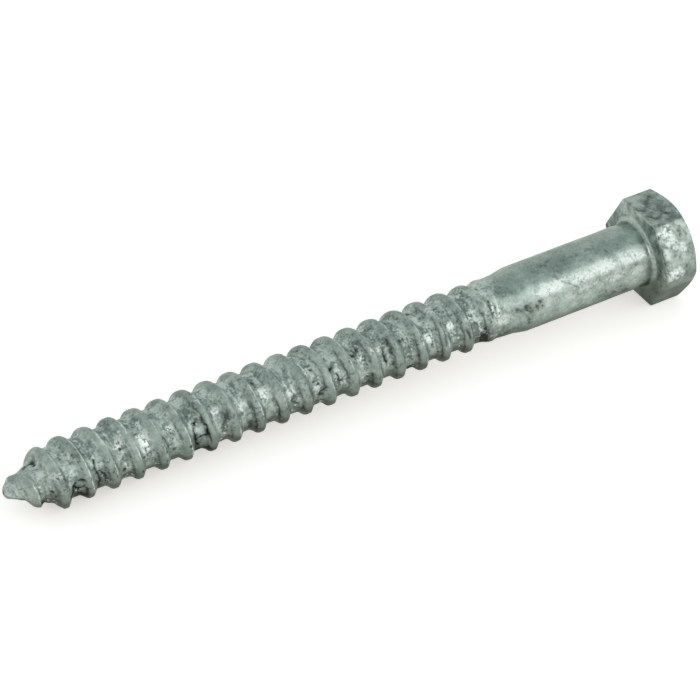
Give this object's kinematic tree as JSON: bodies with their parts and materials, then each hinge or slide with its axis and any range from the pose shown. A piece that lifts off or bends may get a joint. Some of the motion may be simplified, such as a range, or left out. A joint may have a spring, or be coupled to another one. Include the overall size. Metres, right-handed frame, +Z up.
{
  "type": "lag screw",
  "caption": "Hex head lag screw with a plain shank, a coarse wood thread and a gimlet point, hot-dip galvanised.",
  "frame": {"origin": "on the surface the screw lies on, below the middle of its bounding box", "axes": "+X runs along the screw from the point to the head, +Z is up, and the screw lies on its side with its point 1.5 degrees down"},
  "size_m": [0.1046, 0.0162, 0.0141],
  "materials": {
    "galvanised_zinc": "hot-dip galvanised, dull and mottled with bright spots"
  },
  "bodies": {
    "root": {"lag_screw": "galvanised_zinc"}
  },
  "joints": []
}
